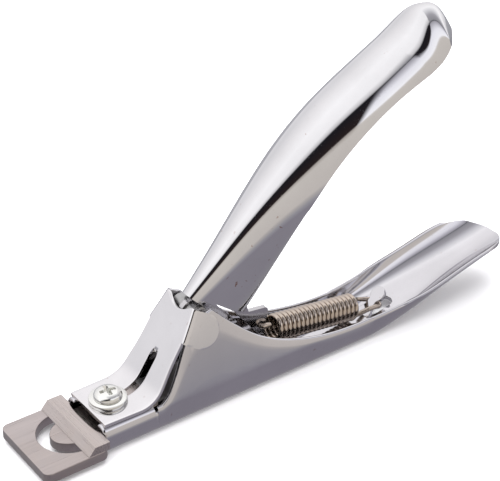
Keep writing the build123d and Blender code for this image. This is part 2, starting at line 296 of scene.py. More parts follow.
class Nodes:
    """A small helper that adds and links nodes of one material."""

    def __init__(self, name):
        self.material = bpy.data.materials.new(name)
        self.material.use_nodes = True
        self.tree = self.material.node_tree
        self.shader = self.tree.nodes["Principled BSDF"]

    def add(self, kind, **inputs):
        node = self.tree.nodes.new(kind)
        for key, value in inputs.items():
            name = key.replace("_", " ")
            if name in node.inputs:
                node.inputs[name].default_value = value
            else:
                setattr(node, key, value)
        return node

    def link(self, a, b):
        self.tree.links.new(a, b)

    def coords(self, scale=(1, 1, 1), rotation=(0, 0, 0)):
        texture = self.add("ShaderNodeTexCoord")
        mapping = self.add("ShaderNodeMapping")
        mapping.inputs["Scale"].default_value = scale
        mapping.inputs["Rotation"].default_value = rotation
        self.link(texture.outputs["Object"], mapping.inputs["Vector"])
        return mapping.outputs["Vector"]

    def noise(self, vector, scale, detail=3.0, roughness=0.5):
        node = self.add("ShaderNodeTexNoise", Scale=scale, Detail=detail, Roughness=roughness)
        self.link(vector, node.inputs["Vector"])
        return node.outputs["Fac"]

    def ramp(self, value, stops):
        node = self.add("ShaderNodeValToRGB")
        elements = node.color_ramp.elements
        while len(elements) < len(stops):
            elements.new(0.5)
        for element, (position, colour) in zip(elements, stops):
            element.position = position
            element.color = (*colour, 1)
        self.link(value, node.inputs["Fac"])
        return node.outputs["Color"]

    def span(self, value, low, high, out_low, out_high):
        node = self.add("ShaderNodeMapRange")
        limits = {"From Min": low, "From Max": high, "To Min": out_low, "To Max": out_high}
        for key, number in limits.items():
            node.inputs[key].default_value = number
        self.link(value, node.inputs["Value"])
        return node.outputs["Result"]

    def mix(self, factor, a, b, mode="MIX"):
        node = self.add("ShaderNodeMix", data_type="RGBA", blend_type=mode)
        for socket, value in ((node.inputs[0], factor), (node.inputs[6], a), (node.inputs[7], b)):
            if isinstance(value, bpy.types.NodeSocket):
                self.link(value, socket)
            elif isinstance(value, tuple):
                socket.default_value = (*value, 1)
            else:
                socket.default_value = value
        return node.outputs[2]

    def bump(self, height, strength, distance, normal=None):
        node = self.add("ShaderNodeBump", Strength=strength)
        node.inputs["Distance"].default_value = distance
        self.link(height, node.inputs["Height"])
        if normal:
            self.link(normal, node.inputs["Normal"])
        return node.outputs["Normal"]

    def use(self, **sockets):
        for key, value in sockets.items():
            self.link(value, self.shader.inputs[key.replace("_", " ")])


def chrome(name, base, roughness=0.05, specks=0.0):
    """Plated pressed steel: faint waviness, hairline scratches, wipe marks and a few brown pits."""
    n = Nodes(name)
    n.shader.inputs["Metallic"].default_value = 1.0
    wipe = n.noise(n.coords((1, 1, 1)), 70, 4, 0.6)
    hair = n.noise(n.coords((60, 900, 900), (0.2, 0.5, 0.1)), 3, 2, 0.7)
    scratch = n.span(hair, 0.66, 0.72, 0, 1)
    colour = n.mix(n.span(wipe, 0.35, 0.7, 0, 1), base, tuple(c * 0.93 for c in base))
    if specks:
        pits = n.noise(n.coords(), 900, 2, 0.5)
        patch = n.noise(n.coords(), 60, 2, 0.5)
        where = n.add("ShaderNodeMath", operation="MULTIPLY")
        n.link(n.span(pits, 0.70, 0.76, 0, 1), where.inputs[0])
        n.link(n.span(patch, 0.50, 0.62, 0, specks), where.inputs[1])
        colour = n.mix(where.outputs[0], colour, (0.34, 0.20, 0.15))
    rough = n.add("ShaderNodeMath", operation="ADD")
    n.link(n.span(wipe, 0.3, 0.75, roughness * 0.7, roughness * 1.5), rough.inputs[0])
    n.link(n.span(hair, 0.62, 0.75, 0, 0.10), rough.inputs[1])
    wave = n.noise(n.coords(), 28, 1, 0.4)
    normal = n.bump(wave, 0.10, 0.0006)
    normal = n.bump(scratch, 0.05, 0.00002, normal)
    n.use(Base_Color=colour, Roughness=rough.outputs[0], Normal=normal)
    return n.material


def ground_steel(name, base, grain, roughness=0.32, depth=0.25):
    """Steel with straight grinding marks; grain is the mapping scale, small along the marks."""
    n = Nodes(name)
    n.shader.inputs["Metallic"].default_value = 1.0
    fine = n.noise(n.coords(grain), 1.0, 4, 0.75)
    broad = n.noise(n.coords(tuple(g * 0.18 for g in grain)), 1.0, 2, 0.5)
    cloud = n.noise(n.coords(), 160, 3, 0.6)
    both = n.mix(0.45, fine, broad)
    colour = n.ramp(both, [(0.30, tuple(c * 0.80 for c in base)), (0.52, base),
                           (0.74, tuple(min(1, c * 1.14) for c in base))])
    colour = n.mix(n.span(cloud, 0.45, 0.75, 0, 0.25), colour, (0.50, 0.42, 0.36))
    rough = n.span(fine, 0.3, 0.7, roughness * 0.8, roughness * 1.3)
    normal = n.bump(fine, depth, 0.00004)
    n.use(Base_Color=colour, Roughness=rough, Normal=normal)
    return n.material


CHROME = (0.66, 0.655, 0.665)
MATERIALS = {
    "upper": chrome("chrome_upper", CHROME, 0.045, 0.9),
    # The lower handle's chrome base is darker than the upper handle's as painted shade on its walls, and
    # the cover's is lighter as painted light.
    "lower": chrome("chrome_lower_painted_shade", (0.60, 0.59, 0.61), 0.08, 0.5),
    "cover": chrome("chrome_cover_painted_light", (0.72, 0.71, 0.72), 0.10, 0.35),
    "lever": chrome("chrome_lever", (0.55, 0.54, 0.55), 0.12),
    "screw": chrome("zinc_screw", (0.78, 0.78, 0.75), 0.16),
    "spring": chrome("nickel_wire", (0.50, 0.43, 0.37), 0.16),
    "die": ground_steel("ground_die", (0.44, 0.395, 0.385), (90, 2200, 900)),
    "blade": ground_steel("ground_blade", (0.50, 0.45, 0.43), (2600, 120, 900), 0.28, 0.35),
    "inner": ground_steel("inner_steel", (0.42, 0.42, 0.42), (200, 900, 900)),
}


def finish_piece(obj, material, body, slot, *nodes):
    """Gives a piece its material and body, and hides the CAD nodes it stands for. slot is not used."""
    obj.data.materials.clear()
    obj.data.materials.append(MATERIALS[material])
    if nodes:
        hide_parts(*nodes)
    if body:
        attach(obj, body)
    return obj


# ---------------------------------------------------------------- lower handle

CHANNEL_HALF, CHANNEL_CORNER = 7.5, 2.0
KNEE_Z = 5.8
LIP_FRONT = 14.5
LIP_TOP, LIP_INNER_Y = 6.1, 4.6
LIP_REAR = 26.5
SLIT_END = 27.1
SLIT_Z = 4.9
HANDLE_END = 128.0
WINDOW_HALF = 2.0
TAB_ROOT, TAB_HEAD, TAB_HEAD_R = (87.5, 0.95), 6.0, 1.9
END_REACH, END_HALF = 16.0, 9.1

# X, half width, floor height and corner radius of the channel and its turned-up trough
STATIONS = [(20.0, 7.5, 0.0, 2.0), (60.0, 7.5, 0.0, 2.0), (84.0, 7.5, 0.0, 2.0), (90.0, 7.9, 0.8, 3.0),
            (98.0, 8.6, 2.4, 5.0), (107.0, 9.1, 4.4, 7.0), (116.0, 9.3, 6.2, 8.2), (123.0, 9.4, 7.7, 8.8),
            (130.0, 9.4, 9.6, 9.0)]
FRONT_EDGE = [(28.2, 6.0), (30.0, 7.5), (32.0, 10.8), (35.2, 17.3), (38.3, 20.9), (42.3, 22.4)]
RIM = [(42.3, 22.4), (45.3, 19.4), (53.7, 12.3), (63.0, 8.1), (71.0, 6.2), (80.0, 5.4),
       (90.0, 5.9), (100.0, 7.3), (109.0, 9.3), (117.0, 11.0), (123.0, 11.2), (130.0, 9.8)]

half_width_at = spline([(s[0], s[1]) for s in STATIONS])
floor_at = spline([(s[0], s[2]) for s in STATIONS])
corner_at = spline([(s[0], s[3]) for s in STATIONS])
front_edge_at = spline(FRONT_EDGE)
rim_at = spline(RIM)


def wall_top(x):
    """Height of the channel's edge at X: its front edge, then the rim."""
    if x < FRONT_EDGE[0][0]:
        return FRONT_EDGE[0][1]
    return front_edge_at(x) if x < RIM[0][0] else rim_at(x)


def plan_limit(x):
    """Half width allowed by the elliptical end."""
    beyond = (x - HANDLE_END + END_REACH) / END_REACH
    if beyond <= 0:
        return math.inf
    return max(END_HALF * math.sqrt(max(1 - beyond ** 2, 0.0)), 0.6)


def wall_lean(z):
    """How far a standing wall has moved inward at height z; it bows in a little towards the top."""
    rise = max(z - KNEE_Z, 0.0)
    return 0.135 * rise + 0.0016 * rise ** 2


def half_path(x, inset, top, count=(5, 9, 14)):
    """Points (y, z) of half a channel section, from the middle of the floor to the rim."""
    if x < TROUGH_X:
        w, f, r = CHANNEL_HALF, 0.0, CHANNEL_CORNER
    else:
        w, f, r = half_width_at(x), floor_at(x), corner_at(x)
    w, f, r = w - inset, f + inset, max(r - inset * 0.8, 0.3)
    limit = plan_limit(x)

    def point(s):
        flat = w - r
        if s <= flat:
            return s, f
        s -= flat
        if s <= r * math.pi / 2:
            a = s / r
            return flat + r * math.sin(a), f + r * (1 - math.cos(a))
        z = f + r + s - r * math.pi / 2
        if x >= TROUGH_X:
            return w, z
        curl = 0.30 * math.exp((z - top) / 1.1)
        return w - wall_lean(z) - curl, z

    low, high = 0.0, 60.0
    for _ in range(40):
        mid = (low + high) / 2
        y, z = point(mid)
        if z < top and y < limit:
            low = mid
        else:
            high = mid
    end = low
    first = min(w - r, end * 0.4)
    second = min(w - r + r * math.pi / 2, end - 0.25)
    marks = list(np.linspace(0, first, count[0]))[:-1]
    marks += list(np.linspace(first, second, count[1]))[:-1]
    marks += list(np.linspace(second, end, count[2]))
    return [point(s) for s in marks]


def sheet_loop(x, outer, inner, squeeze=0.0):
    """A closed loop at X over a sheet's outside and back inside, with rounded edges. squeeze moves
    both sides towards the sheet's middle, for a rounded end."""
    def full(half):
        return [(-y, z) for y, z in reversed(half[1:])] + half

    out, back = full(outer), full(inner)
    mids = [((a[0] + b[0]) / 2, (a[1] + b[1]) / 2) for a, b in zip(out, back)]
    out = [(a[0] + (m[0] - a[0]) * squeeze, a[1] + (m[1] - a[1]) * squeeze) for a, m in zip(out, mids)]
    back = [(a[0] + (m[0] - a[0]) * squeeze, a[1] + (m[1] - a[1]) * squeeze) for a, m in zip(back, mids)]
    round_edge(out, back)
    return [at(x, y, z) for y, z in out + back[::-1]]


def round_edge(out, back, steps=3):
    """Turns the last points of both sides into a half-round edge."""
    for end, step in ((0, 1), (-1, -1)):
        a, b = Vector(out[end]), Vector(back[end])
        radius = (a - b).length / 2
        if radius < 1e-5:
            continue
        along = (Vector(out[end + step]) - a).normalized()
        mid = (a + b) / 2 + along * radius
        across = (a - b).normalized()
        for k in range(steps):
            angle = math.pi / 2 * (1 - k / steps) * 0.94
            lift = along * (-radius * math.sin(angle))
            index = k if end == 0 else -1 - k
            out[index] = tuple(mid + across * radius * math.cos(angle) + lift)
            back[index] = tuple(mid - across * radius * math.cos(angle) + lift)


def channel_loops(xs, top):
    """Loops of the channel at each X; top is a height or a function of X."""
    loops = []
    for x in xs:
        height = top(x) if callable(top) else top
        loops.append(sheet_loop(x, half_path(x, 0, height), half_path(x, SHEET, height)))
    return loops


def lip_half(inset):
    """Half of the folded front section: floor, wall, top lip."""
    r_low, r_top = CHANNEL_CORNER - inset * 0.8, 2.1 - inset * 0.9
    w, low, high = CHANNEL_HALF - inset, inset, LIP_TOP - inset
    points = [(y, low) for y in np.linspace(0, w - r_low, 5)[:-1]]
    points += [(w - r_low + r_low * math.sin(a), low + r_low * (1 - math.cos(a)))
               for a in np.linspace(0, math.pi / 2, 9)[:-1]]
    points += [(w, z) for z in np.linspace(low + r_low, high - r_top, 5)[:-1]]
    points += [(w - r_top * (1 - math.cos(a)), high - r_top * (1 - math.sin(a)))
               for a in np.linspace(0, math.pi / 2, 8)[:-1]]
    points += [(y, high) for y in np.linspace(w - r_top, LIP_INNER_Y, 5)]
    return points


def lower_handle():
    """The folded front and the standing channel, with the window behind the lanced tab."""
    front = bmesh.new()
    lips = []
    for back, squeeze in ((0, 0.75), (0.08, 0.35), (0.25, 0.08), (0.5, 0), (LIP_REAR - LIP_FRONT, 0)):
        lips.append(sheet_loop(LIP_FRONT + back, lip_half(0), lip_half(SHEET), squeeze))
    loop_tube(front, lips)
    loop_tube(front, channel_loops((LIP_REAR, SLIT_END), SLIT_Z))
    front_piece = new_object("lower_handle_lips", front, 50)
    rear = bmesh.new()
    end_start = HANDLE_END - END_REACH
    xs = [SLIT_END, SLIT_END + 0.3] + list(np.arange(28.2, 42.3, 0.35)) + list(np.arange(42.3, 48, 0.4))
    xs += list(np.arange(48, TROUGH_X, 1.0))
    xs += list(np.arange(TROUGH_X, end_start, 0.5))
    xs += [end_start + (END_REACH - 0.2) * math.sin(a) for a in np.linspace(0, math.pi / 2, 40)]
    loops = channel_loops(xs, wall_top)
    for squeeze, short in ((0.12, 0.14), (0.4, 0.06), (0.8, 0.0)):
        x = HANDLE_END - short
        height = wall_top(x)
        loops.append(sheet_loop(x, half_path(x, 0, height), half_path(x, SHEET, height), squeeze))
    loop_tube(rear, loops)
    shell = new_object("lower_handle_shell", rear, 50)
    outline = arc(90.1, 0, WINDOW_HALF, 90, 270, 16) + arc(93.7, 0, WINDOW_HALF, -90, 90, 16)
    window = prism("window", outline, [], flat_place, -2, 4)
    cut(shell, window)
    return shell, front_piece


def lanced_tab():
    """The waisted tongue that holds the spring's rear hook."""
    outline = [(-2.0, 0.0), (2.0, 0.0), (1.9, 1.4), (1.15, 2.6), (1.1, 4.2)]
    outline += arc(0, TAB_HEAD, TAB_HEAD_R, -38, 218, 22)
    outline += [(-1.1, 4.2), (-1.15, 2.6), (-1.9, 1.4)]
    lean = math.radians(41)

    def place(u, v, height):
        x = TAB_ROOT[0] + v * math.cos(lean) - height * math.sin(lean)
        z = TAB_ROOT[1] + v * math.sin(lean) + height * math.cos(lean)
        return at(x, u, z)

    tab = prism("spring_tab", outline, [], place, -SHEET / 2, SHEET / 2)
    return bevel(tab, 0.16)


# ---------------------------------------------------------------- upper handle

# Crest: X, Z, crown radius, and depth square to the crest
SPINE = [(38.9, 25.0, 2.6, 15.0), (45.0, 31.4, 4.0, 13.2), (53.0, 40.0, 6.2, 10.4), (63.0, 49.8, 8.9, 7.0),
         (74.0, 58.2, 10.0, 5.8), (84.0, 63.9, 10.2, 5.6), (91.0, 67.7, 10.0, 6.2)]
# The raised dome behind it: distance along the rim, width scale and height
END_DOME = [(0.0, 1.0, 6.2), (3.0, 0.98, 6.5), (6.0, 0.87, 7.4), (9.0, 0.69, 7.9), (11.3, 0.47, 6.9),
            (12.8, 0.28, 4.8), (13.6, 0.10, 2.2)]
DOME_TILT = math.radians(28)
DOME_CLOSE = 12.0
NOSE_LINE = [(40.2, 25.7), (45.6, 20.9), (51.0, 17.3)]
SHORTEST_CHEEK = 0.5


def ray_depth(origin, inward):
    """Distance from a crest point along inward to the nose line, or None."""
    best = None
    for (x0, z0), (x1, z1) in zip(NOSE_LINE, NOSE_LINE[1:]):
        a = np.array([[inward[0], x0 - x1], [inward[1], z0 - z1]])
        t, u = np.linalg.solve(a, [x0 - origin[0], z0 - origin[1]])
        if -0.35 <= u <= 1.0 and t > 0:
            best = t if best is None else min(best, t)
    return best


def handle_sections():
    """Crest point, inward direction, crown radius, depth, width scale and how far the hollow is
    closed, along the handle."""
    reach = np.concatenate([[0], np.cumsum([math.dist(a[:2], b[:2]) for a, b in zip(SPINE, SPINE[1:])])])
    x, z, r, d = (spline(list(zip(reach, [s[i] for s in SPINE]))) for i in range(4))
    step = 1e-3
    sections = []
    for q in np.linspace(0, reach[-1], 84):
        tangent = np.array([x(q + step) - x(q - step), z(q + step) - z(q - step)])
        tangent /= np.linalg.norm(tangent)
        inward = np.array([tangent[1], -tangent[0]])
        depth = d(q)
        nose = ray_depth((x(q), z(q)), inward)
        if nose is not None:
            depth = min(depth, nose)
        sections.append((np.array([x(q), z(q)]), inward, r(q), depth, 1.0, 0.0))
    crest, inward, radius, depth = sections[-1][:4]
    rim = crest + inward * depth
    wide, height = (spline([(row[0], row[i]) for row in END_DOME]) for i in (1, 2))
    end = END_DOME[-1][0]
    for a in np.linspace(0, math.pi / 2, 34)[1:]:
        along = end * math.sin(a)
        turn = min(1.0, along / 6.0)
        lean = math.atan2(inward[0], -inward[1]) * (1 - turn) + DOME_TILT * turn
        down = np.array([math.sin(lean), -math.cos(lean)])
        foot = rim + np.array([math.cos(DOME_TILT), math.sin(DOME_TILT)]) * along
        tall = height(along)
        close = max(0.0, (along - DOME_CLOSE) / (end - DOME_CLOSE)) * 0.96
        sections.append((foot - down * tall, down, radius, tall, wide(along), close))
    return sections


def upper_handle():
    """The arched shell: one loop round each section, closed towards the tip."""
    bm = bmesh.new()
    loops = []
    for crest, inward, radius, depth, wide, close in handle_sections():
        turn = min(math.pi / 2, math.acos(max(-1.0, 1 - max(depth - SHORTEST_CHEEK, 0.3) / radius)))

        def half(inset):
            inner = max(radius - inset, 0.05)
            points = [(inner * math.sin(a) * wide, radius - inner * math.cos(a))
                      for a in np.linspace(0, turn, 26)[:-1]]
            shoulder = radius - inner * math.cos(turn)
            for h in np.linspace(shoulder, depth, 10):
                points.append(((inner * math.sin(turn) + (h - shoulder) / math.tan(turn)) * wide, h))
            if inset:
                points = [(y, max(h, close * depth)) for y, h in points]
            return points

        outer = [(y, -h) for y, h in half(0)]
        inner = [(y, -h) for y, h in half(min(SHEET, radius * 0.6))]
        out = [(-y, h) for y, h in reversed(outer[1:])] + outer
        back = [(-y, h) for y, h in reversed(inner[1:])] + inner
        round_edge(out, back)
        loop = []
        for y, h in out + back[::-1]:
            p = crest - inward * h
            loop.append(at(p[0], y, p[1]))
        loops.append(loop)
    loop_tube(bm, loops)
    return new_object("upper_handle_shell", bm, 50)


# ---------------------------------------------------------------- cover plate

EAR_Z = PIVOT[1]
EAR_GAP, EAR_LEAN = 0.28, 0.05
EAR_HALF, EAR_FOLD = 3.6, 0.9
SLOT_REAR, SLOT_HALF, KEYHOLE_R = 30.6, 1.1, 1.6


def cover_path():
    """The cover's top line in X and Z: flat, a bend, the incline and a slight second bend."""
    knee, bend, top = Vector((26.4, COVER_TOP)), Vector((34.9, 19.5)), Vector((37.7, 24.4))
    points = [(x, COVER_TOP) for x in np.linspace(15.0, 22.8, 14)]
    low, high = Vector((1, 0)), (bend - knee).normalized()
    turn = low.angle(high)
    radius = 6.0
    start = knee - low * radius * math.tan(turn / 2)
    centre = start + Vector((0, radius))
    points += [(centre.x + radius * math.sin(a), centre.y - radius * math.cos(a))
               for a in np.linspace(0, turn, 22)]
    first = Vector(points[-1])
    control = bend
    for t in np.linspace(0, 1, 30)[1:]:
        p = first * (1 - t) ** 2 + control * 2 * t * (1 - t) + top * t ** 2
        points.append((p.x, p.y))
    return points


def ear_y(z):
    """The ear's outside, lying on the wall and leaning in a little more than it."""
    return CHANNEL_HALF - wall_lean(z) + EAR_GAP + COVER_SHEET - EAR_LEAN * (z - EAR_Z)


def cover_plate():
    """The bent sheet with its slot and an ear folded down on each side."""
    path = [Vector(p) for p in cover_path()]
    reach = np.concatenate([[0], np.cumsum([(b - a).length for a, b in zip(path, path[1:])])])
    total = reach[-1]
    x_at, z_at = (spline(list(zip(reach, [p[i] for p in path]))) for i in (0, 1))
    ear_start = total - 2 * EAR_HALF
    widths = spline([(0, 6.6), (7, 6.8), (11, 6.85), (15, 6.5), (18, 6.1),
                     (ear_start, ear_y(18.0) - EAR_FOLD)])

    def frame_at(s):
        s = min(s, total)
        step = 1e-2
        t = Vector((x_at(s + step) - x_at(s - step), z_at(s + step) - z_at(s - step))).normalized()
        return Vector((x_at(s), z_at(s))), Vector((-t.y, t.x))

    def edge_y(s):
        p, _ = frame_at(s)
        return ear_y(p.y) - EAR_FOLD if s >= ear_start else widths(s)

    rows = list(np.linspace(0, ear_start, 46)) + list(np.linspace(ear_start, total, 17))[1:]
    ear_rows = 17
    columns = np.linspace(-1, 1, 19)
    bm = bmesh.new()
    grid = []
    for s in rows:
        row = []
        for v in columns:
            near_top = max(0.0, (s - (total - 5.0)) / 5.0)
            dip = 1.9 * near_top * (1 - v ** 2) ** 1.3
            p, _ = frame_at(s - dip)
            row.append(bm.verts.new(at(p.x, v * edge_y(s), p.y)))
        grid.append(row)
    for a, b in zip(grid, grid[1:]):
        for k in range(len(columns) - 1):
            bm.faces.new((a[k], a[k + 1], b[k + 1], b[k]))
    quarter = EAR_FOLD * math.pi / 2
    straight = quarter + 2.9
    t_marks = list(np.linspace(0, quarter, 7))[1:] + [quarter + 1.6, straight]
    t_marks += [straight + EAR_HALF * math.sin(a) for a in np.radians((15, 30, 45, 60, 72, 82, 88))]
    for side, column in ((-1, 0), (1, len(columns) - 1)):
        last = [row[column] for row in grid[-ear_rows:]]
        for t in t_marks:
            over = max(0.0, t - straight)
            span = math.sqrt(max(EAR_HALF ** 2 - over ** 2, 1e-4))
            fresh = []
            for u in np.linspace(-1, 1, ear_rows):
                s = total - EAR_HALF + u * span
                p, normal = frame_at(s)
                a = min(t / EAR_FOLD, math.pi / 2)
                back = EAR_FOLD * (1 - math.cos(a)) + max(0.0, t - quarter)
                q = p - normal * back
                edge = ear_y(frame_at(s)[0].y) - EAR_FOLD
                y = edge + (ear_y(q.y) - edge) * math.sin(a)
                fresh.append(bm.verts.new(at(q.x, side * y, q.y)))
            for k in range(ear_rows - 1):
                bm.faces.new((last[k], last[k + 1], fresh[k + 1], fresh[k]))
            last = fresh
    bmesh.ops.recalc_face_normals(bm, faces=bm.faces)
    middle = min(bm.faces, key=lambda f: (f.calc_center_median() - at(18, 0, COVER_TOP)).length)
    if middle.normal.z < 0:
        bmesh.ops.reverse_faces(bm, faces=bm.faces)
    mesh = bpy.data.meshes.new("cover")
    bm.to_mesh(mesh)
    bm.free()
    cover = bpy.data.objects.new("cover_plate_sheet", mesh)
    bpy.context.scene.collection.objects.link(cover)
    solid = cover.modifiers.new("thickness", "SOLIDIFY")
    solid.thickness = COVER_SHEET * MM
    solid.offset = -1
    solid.use_even_offset = True
    apply_modifiers(cover)
    slot = arc(SCREW_X, 0, KEYHOLE_R, 43.5, 316.5, 22) + arc(SLOT_REAR, 0, SLOT_HALF, -90, 90, 14)
    cut(cover, prism("slot", slot, [], flat_place, 3, 30))
    for polygon in cover.data.polygons:
        polygon.use_smooth = True
    return bevel(cover, 0.14, 2, 50)


# ---------------------------------------------------------------- die plate and blade

HOLE_X, HOLE_R = 10.6, 6.7
TONGUE_X, TONGUE_REACH, TONGUE_HALF = 12.5, 6.0, 4.4
BLADE_LOW = DIE_TOP + 0.03
SHANK_REAR = 33.5
PEG_X = 31.0


def die_plate():
    """The ground plate, with a tongue standing into its round window."""
    head, width, shank, rear = DIE_HEAD, HEAD_HALF, 6.0, 28.0
    outline = rounded([(0, -width), (head, -width), (head, -shank), (rear, -shank), (rear, shank),
                       (head, shank), (head, width), (0, width)], [1.6, 1.6, 0.3, 0.5, 0.5, 0.3, 1.6, 1.6])
    limit = math.degrees(math.asin(TONGUE_HALF / HOLE_R))
    gap = arc(HOLE_X, 0, HOLE_R, limit, 360 - limit, 72)
    tongue = [(TONGUE_X - TONGUE_REACH * math.cos(a), TONGUE_HALF * math.sin(a))
              for a in np.linspace(-math.pi / 2, math.pi / 2, 44)]
    hole = gap + tongue
    screw_hole = arc(SCREW_X, 0, SCREW_R, 0, 345, 24)
    die = prism("die_plate_ground", outline, [hole, screw_hole], flat_place, DIE_LOW, DIE_TOP)
    return bevel(die, 0.22, 3)


def blade():
    """The cutter head, with a bevelled front and a shallow notch behind, and its shank."""
    top = DIE_TOP + 1.8
    step = DIE_TOP + 1.0
    profile = [(9.5, BLADE_LOW), (9.56, DIE_TOP + 0.12), (11.0, top), (DIE_HEAD, top),
               (DIE_HEAD, BLADE_LOW)]
    head = prism("blade_head", profile, [], side_place, -HEAD_HALF, HEAD_HALF)
    dip = [(DIE_HEAD + 0.8 * math.cos(a), 6.0 * math.sin(a)) for a in np.linspace(0, 2 * math.pi, 40)[:-1]]
    notch = prism("notch", dip, [], flat_place, step, 7)
    cut(head, notch)
    bevel(head, 0.10, 2, 25)
    slot = arc(19.3, 0, 1.7, 90, 270, 10) + arc(26.5, 0, 1.7, -90, 90, 10)
    peg = arc(PEG_X, 0, 1.25, 0, 345, 24)
    front, half = DIE_HEAD - 0.1, 4.3
    outline = rounded([(front, -half), (SHANK_REAR, -half), (SHANK_REAR, half), (front, half)],
                      [0.01, 0.8, 0.8, 0.01])
    shank = prism("blade_shank", outline, [slot, peg], flat_place, BLADE_LOW, step)
    bevel(shank, 0.08, 2)
    shank.data.materials.append(MATERIALS["blade"])
    shank.parent = head
    return head, shank


# ---------------------------------------------------------------- screw, washer, lever, spring

WASHER_TOP = COVER_TOP + 1.0


def lock_screw():
    """A domed head with a cross recess, on a plain shank."""
    under = WASHER_TOP
    head = [(0, under + 1.6), (1.0, under + 1.57), (1.8, under + 1.46), (2.4, under + 1.22),
            (2.8, under + 0.85), (2.97, under + 0.45), (2.98, under + 0.12), (2.88, under),
            (SCREW_R, under), (SCREW_R, 1.4), (1.3, 1.2), (0, 1.2)]
    screw = lathe("lock_screw_turned", head, at(SCREW_X, 0, 0), (0, 0, 1), 72)
    turn = math.radians(-8)

    def place(u, v, height):
        taper = 1 - 0.35 * (under + 1.7 - height) / 1.3
        u, v = u * taper, v * taper
        x = SCREW_X + u * math.cos(turn) - v * math.sin(turn)
        return at(x, u * math.sin(turn) + v * math.cos(turn), height)

    arm, half = 1.85, 0.48
    cross = [(half, half), (half, arm), (-half, arm), (-half, half), (-arm, half), (-arm, -half),
             (-half, -half), (-half, -arm), (half, -arm), (half, -half), (arm, -half), (arm, half)]
    cut(screw, prism("recess", rounded(cross, 0.14, 3), [], place, under + 0.4, under + 1.7))
    for polygon in screw.data.polygons:
        polygon.use_smooth = True
    return bevel(screw, 0.06, 2, 40)


def washer():
    low, high = COVER_TOP, WASHER_TOP
    ring = [(1.55, low), (3.85, low), (3.97, low + 0.12), (4.0, low + 0.3), (4.0, high - 0.3),
            (3.93, high - 0.1), (3.75, high), (1.65, high), (1.55, high - 0.1), (1.55, low)]
    return lathe("screw_washer_turned", ring, at(SCREW_X, 0, 0), (0, 0, 1), 96)


def lever_plate():
    """The flat lever: an eye, a drive arm with a round nose, and a tail with the spring's hole."""
    drive = (43.3, 4.6)
    tail = [(42.9, 20.0), (46.0, 20.2), (51.0, 16.4), (53.6, 12.8), (57.2, 8.4), (58.9, 8.1), (59.9, 14.3),
            (54.6, 15.0), (52.9, 20.0), (56.0, 29.0), (57.6, 34.0), (52.5, 36.0), (45.5, 28.0),
            (41.2, 23.0)]
    eye = arc(*PIVOT, 2.9, 60, 190, 14)
    arm = [(37.4, 18.6), (drive[0] - 1.38, drive[1])] + arc(*drive, 1.4, 190, 350, 12)
    arm += [(drive[0] + 1.38, drive[1]), (43.0, 17.5)]
    outline = tail[:6] + rounded([tail[5], tail[6], tail[7]], [0, 1.0, 0])[1:-1] + tail[7:] + eye + arm
    bore = arc(*PIVOT, 1.55, 0, 345, 24)
    hook = arc(*TAIL_HOLE, 0.8, 0, 340, 18)
    lever = prism("lever_plate_pressed", outline, [bore, hook], side_place, -0.6, 0.6)
    return bevel(lever, 0.15, 2)


def spring_path():
    """Centre line of the spring wire: front hook, close coils, rear hook."""
    turns, radius = 19, 2.65
    (x0, z0), (x1, z1) = COIL_FRONT, COIL_REAR
    length = math.hypot(x1 - x0, z1 - z0)
    along = Vector(((x1 - x0) / length, 0, (z1 - z0) / length))
    across = Vector((0, 1, 0))
    up = across.cross(along) * -1
    start = Vector((x0, 0, z0))

    def coil(turn):
        a = 2 * math.pi * turn + math.radians(128)
        round_axis = across * math.cos(a) * -1 + up * math.sin(a)
        return start + along * length * turn / turns + round_axis * radius

    points = []
    hook_x, hook_z = TAIL_HOLE
    points += [Vector((59.6, -1.6, 10.3)), Vector((58.7, -1.6, 10.5))]
    for a in np.radians(np.linspace(0, 180, 13)):
        points.append(Vector((hook_x + 0.35 - 1.3 * math.sin(a) * 0.55, -1.6 * math.cos(a), hook_z - 0.1)))
    coil_points = [coil(t) for t in np.linspace(0, turns + 0.42, turns * 26)]
    points += between(points[-1], coil_points[0], 12)
    points += coil_points
    low, rear = Vector((88.0, -1.75, 3.45)), Vector((90.4, -1.75, 3.3))
    points += between(coil_points[-1], low, 12) + [low] + between(low, rear, 8)
    for a in np.radians(np.linspace(0, 180, 13)):
        points.append(Vector((90.7 + 1.0 * math.sin(a), -1.75 * math.cos(a), 3.1)))
    points += [Vector((89.0, 1.75, 3.8)), Vector((87.0, 1.75, 4.6))]
    return [at(*p) for p in points]


def between(a, b, steps):
    """Points strictly between a and b."""
    return [a.lerp(b, k / steps) for k in range(1, steps)]


def return_spring():
    return wire("return_spring_wire", spring_path(), WIRE_R)


# ---------------------------------------------------------------- build

handle_shell, handle_lips = lower_handle()
finish_piece(handle_shell, "lower", "frame", "lower_handle", "lower_handle")
finish_piece(handle_lips, "lower", "frame", "lower_handle")
finish_piece(lanced_tab(), "lower", "frame", "lower_handle")
finish_piece(upper_handle(), "upper", "handle", "upper_handle", "upper_handle")
finish_piece(cover_plate(), "cover", "frame", "cover_plate", "cover_plate")
finish_piece(die_plate(), "die", "frame", "die_plate", "die_plate")
blade_head, blade_shank = blade()
finish_piece(blade_head, "blade", "cutter", "blade", "blade")
finish_piece(lock_screw(), "screw", "frame", "lock_screw", "lock_screw")
finish_piece(washer(), "screw", "frame", "screw_washer", "screw_washer")
finish_piece(lever_plate(), "lever", "handle", "lever_plate", "lever_plate")
# The spring is attached to no body.
spring = finish_piece(return_spring(), "spring", None, "return_spring", "return_spring")
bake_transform(spring)
for node in ("slide_plate", "pivot_pin", "lever_spacers"):
    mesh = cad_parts[node].data
    mesh.materials.clear()
    mesh.materials.append(MATERIALS["inner"])

# ---------------------------------------------------------------- studio

FLOOR_GREY = (0.92, 0.92, 0.93)


